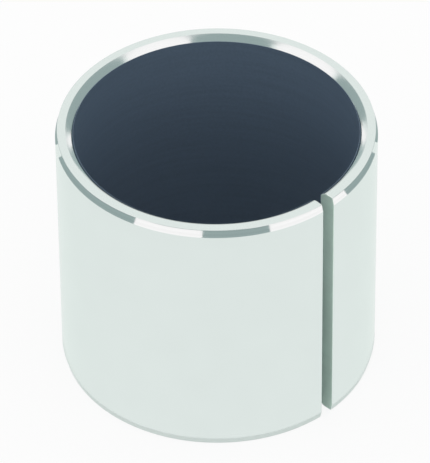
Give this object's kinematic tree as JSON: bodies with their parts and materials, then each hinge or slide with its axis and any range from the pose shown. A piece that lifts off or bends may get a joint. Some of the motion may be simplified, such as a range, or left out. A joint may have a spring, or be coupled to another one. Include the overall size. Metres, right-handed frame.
{
  "type": "wrapped plain bearing bushing",
  "caption": "Thin-walled cylindrical bushing rolled from plated steel strip, with an open axial seam, chamfered outer edges and a dark low-friction lining in its bore.",
  "frame": {"origin": "on the bore axis, at the lower end face that the bushing stands on", "axes": "+Z along the bore axis, up from the lower end face; -Y towards the open seam; +X completes the right-handed frame"},
  "size_m": [0.0344, 0.0344, 0.0301],
  "materials": {
    "plated_steel": "pale tin-plated rolled steel, satin",
    "filled_ptfe": "dark blue-grey filled PTFE, smooth and waxy matte"
  },
  "bodies": {
    "root": {"steel_backing": "plated_steel", "ptfe_lining": "filled_ptfe"}
  },
  "joints": []
}
